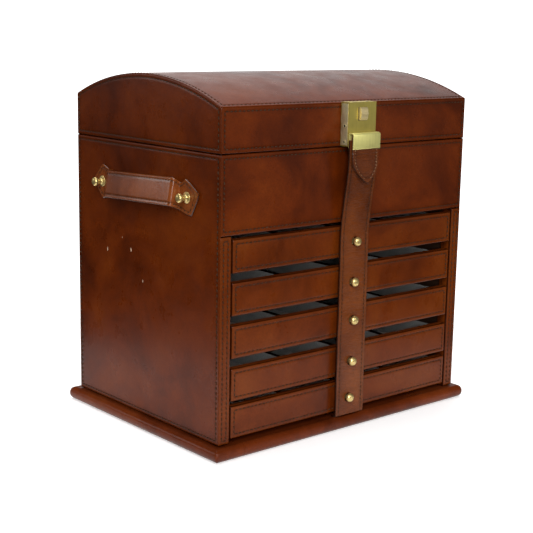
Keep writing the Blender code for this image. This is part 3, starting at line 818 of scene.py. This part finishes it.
def make_tray(body):
    """The tray's suede floor, walls and dividers; each divider's near-black cap is painted shade."""
    low, high = BOXES[f"{body}_lining"]
    wall, divider, wells, gap = 1.5 * MM, 3.0 * MM, 4, 0.1 * MM
    pitch = (high[0] - low[0] - 2 * wall - (wells - 1) * divider) / wells + divider
    divider_top, cap_low = high[2] - 1.6 * MM, high[2] - 1.7 * MM
    block(
        f"{body}_suede", (low[0] + wall, low[1] + wall, low[2]),
        (high[0] - wall, high[1] - wall, low[2] + wall), SUEDE, body, 0.5 * MM, [f"{body}_lining"],
    )
    for index in range(1, wells):
        x = low[0] + wall + index * pitch - divider
        block(
            f"{body}_divider_{index}", (x, low[1] + wall, low[2] + wall + gap),
            (x + divider, high[1] - wall, divider_top), SUEDE, body, 0.6 * MM, (),
        )
        # The cap's near-black colour is painted shade for the divider's shadow.
        block(
            f"{body}_divider_cap_{index}", (x, low[1] + wall, cap_low),
            (x + divider, high[1] - wall, high[2]), DIVIDER_PAINTED_SHADE, body, 0.7 * MM, (),
        )
    for name, box_low, box_high in (
        ("left", (low[0], low[1], low[2]), (low[0] + wall - gap, high[1], high[2])),
        ("right", (high[0] - wall + gap, low[1], low[2]), (high[0], high[1], high[2])),
        ("front", (low[0] + wall, low[1], low[2]), (high[0] - wall, low[1] + wall - gap, high[2])),
        ("back", (low[0] + wall, high[1] - wall + gap, low[2]), (high[0] - wall, high[1], high[2])),
    ):
        block(f"{body}_wall_{name}", box_low, box_high, SUEDE, body, 0.5 * MM, ())


def repaint(nodes, material):
    for node in nodes:
        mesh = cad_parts[node].data
        mesh.materials.clear()
        mesh.materials.append(material)


# ---- strap, tab and clip


def strap_middle(z):
    """Offset of the strap's middle in front of the body at a height; the same bend as the CAD solid."""
    low, high = BOXES["strap"]
    near, far = FRONT - high[1] + STRAP_HALF, FRONT - low[1] - STRAP_HALF
    t = min(max((z - STRAP_BEND_LOW) / STRAP_BEND_LENGTH, 0.0), 1.0)
    return near + (far - near) * t * t * (3 - 2 * t)


def make_strap():
    low, high = BOXES["strap"]
    width, length = high[0] - low[0], high[2] - low[2]
    half, soft_edge = STRAP_HALF, 0.8 * MM

    def place(u, v, h):
        z = low[2] + v
        slope = (strap_middle(z + MM) - strap_middle(z - MM)) / (2 * MM)
        out = h + half
        norm = math.hypot(1, slope)
        ripple = 0.22 * MM * math.sin(v * 95) * math.sin(v * 37 + 1)
        return (low[0] + u, FRONT - strap_middle(z) - ripple - out / norm, z - out * slope / norm)

    us = lines(width, "square", "square", 2 * half, 3 * MM)
    vs = lines(length, "square", "square", 2 * half, 4 * MM)

    def soften(d, h):
        return -half if h <= -2 * half else soft_edge * (edge_round(d / soft_edge) - 1)

    outer, inner, edges = [], [], []
    for u, hu, du in us:
        for v, hv, dv in vs:
            d = min(du, dv)
            h = max(-half, soften(du, hu) + soften(dv, hv))
            outer.append(place(u, v, h + (groove(du) * 0.8 if d > 1 * MM else 0)))
            inner.append(place(u, v, -2 * half - h))
            edges.append(d / MM)
    strap = slab(
        "strap_band", outer, inner, len(us), edges, 3.0, STRAP_LEATHER, "strap_body",
        ["strap"],
    )
    punch_holes(strap)
    groove_h = -0.1 * MM
    runs = [
        surface_run(place, (STITCH_IN, length - 16 * MM), (STITCH_IN, 3 * MM), groove_h),
        surface_run(place, (width - STITCH_IN, 3 * MM), (width - STITCH_IN, length - 16 * MM), groove_h),
    ]
    stitches("strap_stitches", runs, THREAD, "strap_body", 4.3 * MM, 0.9 * MM)


def punch_holes(strap):
    """The round holes that the drawers' knobs come through."""
    bm = bmesh.new()
    for number in DRAWERS:
        x, z = knob_middle(number)
        centre = (x, FRONT - 6 * MM, z)
        bmesh.ops.create_cone(
            bm, cap_ends=True, segments=48, radius1=HOLE_RADIUS, radius2=HOLE_RADIUS, depth=12 * MM,
            matrix=Matrix.Translation(centre) @ Matrix.Rotation(math.radians(90), 4, "X"),
        )
    tool = link("punch", mesh_from("punch", bm))
    modifier = strap.modifiers.new("holes", "BOOLEAN")
    modifier.object, modifier.operation, modifier.solver = tool, "DIFFERENCE", "EXACT"
    bpy.context.view_layer.update()
    cut = bpy.data.meshes.new_from_object(strap.evaluated_get(bpy.context.evaluated_depsgraph_get()))
    strap.modifiers.clear()
    strap.data = cut
    bpy.data.objects.remove(tool, do_unlink=True)
    half = max(v.co.x for v in cut.vertices)
    attribute = cut.attributes.get("edge") or cut.attributes.new("edge", "FLOAT", "POINT")
    attribute.data.foreach_set("value", [(half - abs(v.co.x)) / MM for v in cut.vertices])
    smooth_shade(cut, 35)


def make_tab():
    """The strap's pointed tongue: it hangs from the clip, leans out a little and points off to one side."""
    low, high = BOXES["strap_tab"]
    half_width, tip, top = high[0], low[2], high[2]
    length, reach = top - tip, 24 * MM
    depth = high[1] - low[1]
    clip_low = BOXES["strap_clip"][0][2]
    skew, lean = 3.5 * MM, 1.3 * MM

    def half_at(z):
        t = min(max((z - tip) / reach, 0.0), 1.0)
        return half_width * math.sin(t**0.78 * math.pi / 2) ** 1.15

    def surface(s, z, h):
        t = min((z - tip) / length, 1.0)
        shift = skew * max(0.0, 1 - (z - tip) / reach)
        y = high[1] - depth / 2 - lean * (1 - t) ** 1.5
        return Vector((shift + s * half_at(z), y - h, z))

    def height(s, z):
        near = min(half_at(z) * (1 - abs(s)), (z - tip) * 0.7) / MM
        rim = 0.9 * edge_round(near / 0.9)
        channel = -0.3 * math.exp(-(((near - 3.4) / 0.6) ** 2))
        fold = 0.0
        for crease in range(3):
            at = clip_low - (4.2 + 3.2 * crease) * MM
            fold += (0.75 - 0.2 * crease) * math.exp(-((((z - at) / MM - s * 0.9) / 0.7) ** 2))
        return (rim + channel + fold) * MM, near

    zs = [tip + 0.02 * MM] + [tip + length * k / 66 for k in range(1, 67)]
    ss = [math.copysign(abs(-1 + k / 15) ** 0.7, -1 + k / 15) for k in range(31)]
    outer, inner, edges = [], [], []
    for z in zs:
        for s in ss:
            h, near = height(s, z)
            outer.append(surface(s, z, h))
            inner.append(surface(s, z, -depth / 2))
            edges.append(near)
    slab(
        "strap_tongue", outer, inner, len(zs), edges, 3.0, STRAP_LEATHER, "strap_body",
        ["strap_tab"],
    )

    def side_path(sign):
        def path(t):
            z = tip + 4.2 * MM + (length - 16 * MM) * t
            inset = min(3.4 * MM / max(half_at(z), 1 * MM), 0.98)
            return surface(sign * (1 - inset), z, 0.75 * MM), Vector((0, -1, 0))

        return path, length - 12 * MM

    stitches("tongue_stitches", [side_path(-1), side_path(1)], TAN_THREAD, "strap_body", 3.4 * MM, 0.9 * MM)


def make_clip():
    """The folded brass clip: its back leaf, the bend over the top, and its front leaf."""
    low, high = BOXES["strap_clip"]
    wall, radius, corner = 1.0 * MM, 2.6 * MM, 1.2 * MM
    front, back, top = low[1], high[1], high[2]
    outline = [(back, low[2] + wall), (back, top - corner)]
    for a in (math.radians(d) for d in (30, 60, 90)):
        outline.append((back - corner * (1 - math.cos(a)), top - corner * (1 - math.sin(a))))
    for k in range(9):
        a = math.radians(90 + 90 * k / 8)
        outline.append((front + radius + radius * math.cos(a), top - radius + radius * math.sin(a)))
    outline += [(front, low[2] + 0.5 * MM), (front + 0.25 * MM, low[2]), (front + wall, low[2])]
    outline.append((front + wall, top - radius))
    for k in range(1, 7):
        a = math.radians(180 - 90 * k / 6)
        r = radius - wall
        outline.append((front + radius + r * math.cos(a), top - radius + r * math.sin(a)))
    outline += [(back - wall, top - wall), (back - wall, low[2] + wall)]
    extruded("clip_plate", outline, low[0], high[0], CLIP_BRASS, "strap_body", 0.22 * MM, ["strap_clip"])


# ---- lock


def bevel_node(node, width):
    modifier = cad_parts[node].modifiers.new("edges", "BEVEL")
    modifier.width, modifier.segments = width, 2
    modifier.limit_method, modifier.angle_limit = "ANGLE", math.radians(50)


def make_lock():
    low, high = BOXES["lock_case"]
    repaint(["lock_case", "lock_latch"], LOCK_BRASS)
    bevel_node("lock_case", 0.35 * MM)
    repaint(["lock_screw_left", "lock_screw_right"], DARK_STEEL_AND_SHADE)
    make_thumb(low)
    for side, x, sign in (("left", low[0], -1), ("right", high[0], 1)):
        make_cheek(side, x, sign, low, high)
    for index, x in enumerate((-9.5 * MM, 8.0 * MM)):
        block(
            f"lock_notch_{index}", (x - 1.5 * MM, low[1] + 0.8 * MM, high[2] - 0.9 * MM),
            (x + 1.5 * MM, low[1] + 4.2 * MM, high[2] + 0.12 * MM), DARK_STEEL_AND_SHADE, "lid", 0.1 * MM,
        )


def make_thumb(case_low):
    """The push button: a half-round thumb piece with ribs across it, in a slot drawn as near-black plates
    of painted shade.
    """
    low, high = BOXES["lock_button"]
    rim = case_low[1] - 1.5 * MM
    steps, ribs, rib_depth = 60, 3, 0.38 * MM
    outline = [(high[1], high[2]), (high[1], low[2])]
    for k in range(steps + 1):
        t = k / steps
        rib = rib_depth * (0.5 - 0.5 * math.cos(t * ribs * math.tau))
        swell = (rim - low[1] - 0.35 * MM) * math.sin(math.pi * t)
        outline.append((rim - swell - rib, low[2] + (high[2] - low[2]) * t))
    extruded("lock_thumb", outline, low[0], high[0], THUMB_BRASS, "button", 0.0, ["lock_button"], smooth=50)
    gap = 0.25 * MM
    slots = (("left", low[0] - 1.1 * MM, low[0] - gap), ("right", high[0] + gap, high[0] + 0.7 * MM))
    # Each side of the slot is a thin near-black plate on the case's face: painted shade for the opening
    # beside the button.
    for side, x0, x1 in slots:
        block(
            f"lock_slot_{side}", (x0, case_low[1] - 0.12 * MM, low[2] - 0.3 * MM),
            (x1, case_low[1] + 0.5 * MM, high[2] + 0.3 * MM), DARK_STEEL_AND_SHADE, "lid", 0.1 * MM,
        )


def make_cheek(side, x, sign, low, high):
    """The lock's cast side plate: a cheek with a wavy back edge and two dark rivets in bright rims."""
    front, back = low[1] + 0.9 * MM, high[1] - 0.6 * MM
    outline = [(front, low[2] + 1.2 * MM)]
    steps = 40
    for k in range(steps + 1):
        t = k / steps
        z = low[2] + 1.2 * MM + (high[2] - low[2] - 2.6 * MM) * t
        wave = 0.8 * MM * math.sin(t * 3.2 * math.pi) ** 2 + 1.2 * MM * max(0.0, t - 0.75) * 3
        outline.append((back - wave, z))
    outline.append((front, high[2] - 1.4 * MM))
    thick = 0.55 * MM
    face = x + sign * thick
    extruded(f"lock_cheek_{side}", outline, x, face, CHEEK_BRASS, "lid", 0.18 * MM)
    for index, (u, v, radius) in enumerate(((0.42, 0.46, 1.5), (0.45, 0.10, 1.3))):
        at, axis = (face, front + (back - front) * u, low[2] + (high[2] - low[2]) * v), (sign, 0, 0)
        outer = radius + 0.7
        ring = [(0, -0.3), (outer, -0.3), (outer, 0.25), (radius, 0.45), (radius - 0.1, 0.1), (0, 0.1)]
        lathe(f"lock_rivet_{side}_{index}", ring, at, axis, CHEEK_BRASS, "lid", steps=24)
        core = [(0, 0), (radius - 0.25, 0), (radius - 0.35, 0.22), (0, 0.22)]
        lathe(f"lock_rivet_core_{side}_{index}", core, at, axis, DARK_STEEL_AND_SHADE, "lid", steps=20)


# ---- handles


def handle_path(foot, bow, fold_front, fold_back, reach):
    """The handle's middle line as (offset, y): flat feet, sharp folds and a nearly flat bow."""
    middle = (fold_front + fold_back) / 2
    corners = [
        (foot, -reach), (foot, fold_front - 1 * MM), (bow, fold_front), (bow * 1.04, middle),
        (bow, fold_back), (foot, fold_back + 1 * MM), (foot, reach),
    ]
    points = []
    for (a, b), (c, d) in zip(corners, corners[1:]):
        count = max(3, round(math.hypot(c - a, d - b) / (1.1 * MM)))
        points += [(a + (c - a) * k / count, b + (d - b) * k / count) for k in range(count)]
    points.append(corners[-1])
    for _ in range(5):
        threes = zip(points, points[1:], points[2:])
        eased = [tuple((Vector(a) + 2 * Vector(b) + Vector(c)) / 4) for a, b, c in threes]
        points = [points[0]] + eased + [points[-1]]
    return points


def make_handle(side, sign):
    """One strip of leather: arrow-shaped feet flat on the panel, and a band standing off between them."""
    b_low, b_high = BOXES[f"handle_{side}_band"]
    p_low, p_high = BOXES[f"handle_{side}_pad_front"]
    q_high = BOXES[f"handle_{side}_pad_back"][1]
    s_low, s_high = BOXES[f"handle_{side}_stud_front"]
    middle_y, middle_z = (p_low[1] + q_high[1]) / 2, (b_low[2] + b_high[2]) / 2
    reach = (q_high[1] - p_low[1]) / 2
    thick = 2.4 * MM
    foot = 0.35 * MM + thick / 2
    bow = max(abs(b_low[0]), abs(b_high[0])) - X_OUT - thick / 2 - 0.6 * MM
    fold_front, fold_back = -58.5 * MM, 55 * MM
    points = handle_path(foot, bow, fold_front, fold_back, reach - 0.02 * MM)
    half_band, half_pad = (b_high[2] - b_low[2]) / 2, (p_high[2] - p_low[2]) / 2
    neck, shoulder = 62 * MM, 74 * MM
    stud_y = (s_low[1] + s_high[1]) / 2 - middle_y
    turn = math.radians(15)

    def half_at(y):
        d = abs(y)
        if d <= neck:
            return half_band
        if d <= shoulder:
            return half_band + (half_pad - half_band) * (d - neck) / (shoulder - neck)
        return max(half_pad * ((reach - d) / (reach - shoulder)) ** 0.9, 0.02 * MM)

    ss = [math.copysign(abs(-1 + k / 12) ** 0.75, -1 + k / 12) for k in range(25)]

    def normal_at(index):
        a, b = points[max(index - 1, 0)], points[min(index + 1, len(points) - 1)]
        along = (Vector(b) - Vector(a)).normalized()
        return Vector((along.y, -along.x))

    def in_space(index, s, h):
        offset, y = points[index]
        out = normal_at(index)
        raised = min(max((offset - foot) / (bow - foot), 0.0), 1.0)
        part = min(max((fold_back - y) / (fold_back - fold_front), 0.0), 1.0)
        lift = 4.6 * MM * part * raised
        offset -= s * 2.3 * MM * raised
        across, up = y + out.y * h, s * half_at(y) + lift
        twist = turn * min(max((-y - 60 * MM) / (9 * MM), 0.0), 1.0)
        across, up = (
            stud_y + (across - stud_y) * math.cos(twist) + up * math.sin(twist),
            up * math.cos(twist) - (across - stud_y) * math.sin(twist),
        )
        return Vector((sign * (X_OUT + offset + out.x * h), middle_y + across, middle_z + up))

    outer, inner, edges = [], [], []
    for index, (offset, y) in enumerate(points):
        for s in ss:
            near = half_at(y) * (1 - abs(s)) * (0.72 if abs(y) > shoulder else 1.0)
            near = min(near, (reach - abs(y)) * 0.75) / MM
            rim = 1.2 * edge_round(near / 1.2)
            channel = -0.28 * math.exp(-(((near - 3.3) / 0.6) ** 2))
            outer.append(in_space(index, s, (rim + channel) * MM))
            inner.append(in_space(index, s, -rim * MM))
            edges.append(near)
    nodes = [f"handle_{side}_{piece}" for piece in ("band", "pad_front", "pad_back")]
    slab(
        f"handle_{side}_leather", outer, inner, len(points), edges, 4.0, HANDLE_LEATHER, "case",
        nodes, smooth=45,
    )

    def line(edge_sign):
        def path(t):
            where = (len(points) - 1) * min(max(0.045 + 0.91 * t, 0), 1)
            index = min(int(where), len(points) - 2)
            spots = []
            for k in (index, index + 1):
                y = points[k][1]
                inset = max(half_at(y) - (4.4 if abs(y) > shoulder else 3.4) * MM, 0.1 * MM)
                spots.append(in_space(k, edge_sign * inset / half_at(y), 1.0 * MM))
            out = normal_at(index)
            return spots[0].lerp(spots[1], where - index), Vector((sign * out.x, out.y, 0))

        length = sum((Vector(a) - Vector(b)).length for a, b in zip(points, points[1:])) * 0.93
        return path, length

    stitches(f"handle_{side}_stitches", [line(-1), line(1)], THREAD, "case", 4.4 * MM, 0.9 * MM)
    for end in ("front", "back"):
        s_low, s_high = BOXES[f"handle_{side}_stud_{end}"]
        at = (sign * (X_OUT + 3.0 * MM), (s_low[1] + s_high[1]) / 2, (s_low[2] + s_high[2]) / 2)
        lathe(
            f"handle_{side}_knob_{end}", STUD_PROFILE, at, (sign, 0, 0), STUD_BRASS, "case",
            [f"handle_{side}_stud_{end}"], rounding=1.3 * MM,
        )


# ---- inside and hinge


def make_inside():
    repaint(["compartment_lining", "lid_lining"], SUEDE)
    repaint(["compartment_floor", "drawer_runner_left", "drawer_runner_right"], WOOD)
    repaint([f"drawer_{number}_tray" for number in DRAWERS], WOOD)
    repaint(["hinge_leaf_case", "hinge_leaf_lid", "hinge_pin"], HINGE_BRASS)
    repaint(["strap_foot"], BASE_LEATHER)
    make_runner_screws()


def make_runner_screws():
    """A small brass screw in the front end of every runner."""
    for side, sign in SIDES:
        low, high = BOXES[f"drawer_runner_{side}"]
        x = sign * (abs(low[0] if sign < 0 else high[0]) - 9 * MM)
        for number in DRAWERS:
            z = BOXES[f"drawer_{number}_tray"][0][2] - 1.8 * MM
            lathe(
                f"runner_screw_{side}_{number}", RUNNER_SCREW, (x, low[1], z), (0, -1, 0), STUD_BRASS,
                "case", steps=16, rounding=0.2 * MM,
            )


def hinge_screws():
    """Seven brass screws along each leaf of the hinge."""
    for body, node in (("case", "hinge_leaf_case"), ("lid", "hinge_leaf_lid")):
        low, high = BOXES[node]
        z = low[2] + 5 * MM if body == "case" else high[2] - 5 * MM
        for k in range(7):
            at = (-135 * MM + 45 * MM * k, BACK + 1.6 * MM, z)
            lathe(
                f"hinge_screw_{body}_{k}", HINGE_SCREW, at, (0, 1, 0), STUD_BRASS, body, steps=20,
                rounding=0.3 * MM,
            )


# ---- stage


def make_world():
    """A white surround for the camera; what lights and reflects in the piece is a dim studio."""
    world = bpy.data.worlds.new("studio")
    world.use_nodes = True
    tree = world.node_tree
    background = tree.nodes["Background"]
    seen = tree.nodes.new("ShaderNodeLightPath")
    choose = tree.nodes.new("ShaderNodeMix")
    choose.data_type = "RGBA"
    choose.inputs[6].default_value = (0.03, 0.03, 0.03, 1)
    choose.inputs[7].default_value = (1.6, 1.6, 1.6, 1)
    tree.links.new(seen.outputs["Is Camera Ray"], choose.inputs[0])
    tree.links.new(choose.outputs[2], background.inputs["Color"])
    bpy.context.scene.world = world


def make_lamp(name, at, size, power, aim):
    light = bpy.data.lights.new(name, "AREA")
    light.energy, light.size = power, size
    lamp = link(name, light)
    lamp.location = at
    lamp.rotation_euler = (Vector(aim) - Vector(at)).to_track_quat("-Z", "Y").to_euler()


def make_stage():
    """The round floor, the lamps and the camera."""
    mesh = bpy.data.meshes.new("studio_floor")
    turns = [math.tau * k / 96 for k in range(96)]
    verts = [(FLOOR_RADIUS * math.cos(turn), FLOOR_RADIUS * math.sin(turn), 0) for turn in turns]
    mesh.from_pydata(verts, [], [tuple(range(len(verts)))])
    mesh.materials.append(plain_floor("studio_floor"))
    floor = link("studio_floor", mesh)
    floor.location.z = -0.2 * MM
    make_world()
    for lamp in LAMPS:
        make_lamp(*lamp)
    make_camera()
    bpy.context.scene.view_settings.view_transform = "Standard"


def make_camera():
    yaw, pitch, roll = CAMERA_YAW, CAMERA_PITCH, CAMERA_ROLL
    forward = Vector((math.sin(yaw) * math.cos(pitch), math.cos(yaw) * math.cos(pitch), math.sin(pitch)))
    level = Vector((math.cos(yaw), -math.sin(yaw), 0))
    rise = level.cross(forward)
    right = level * math.cos(roll) + rise * math.sin(roll)
    up = -level * math.sin(roll) + rise * math.cos(roll)
    data = bpy.data.cameras.new("camera")
    data.lens, data.sensor_width = CAMERA_LENS, CAMERA_SENSOR
    camera = link("camera", data)
    turn = Matrix((right, up, -forward)).transposed().to_4x4()
    camera.matrix_world = Matrix.Translation(CAMERA_PLACE) @ turn
    bpy.context.scene.camera = camera


# ---- everything

make_body()
make_nicks()
make_lid()
make_base()
for drawer in DRAWERS:
    make_drawer(drawer)
make_strap()
make_tab()
make_clip()
make_lock()
for side, sign in SIDES:
    make_handle(side, sign)
make_inside()
hinge_screws()
make_stage()
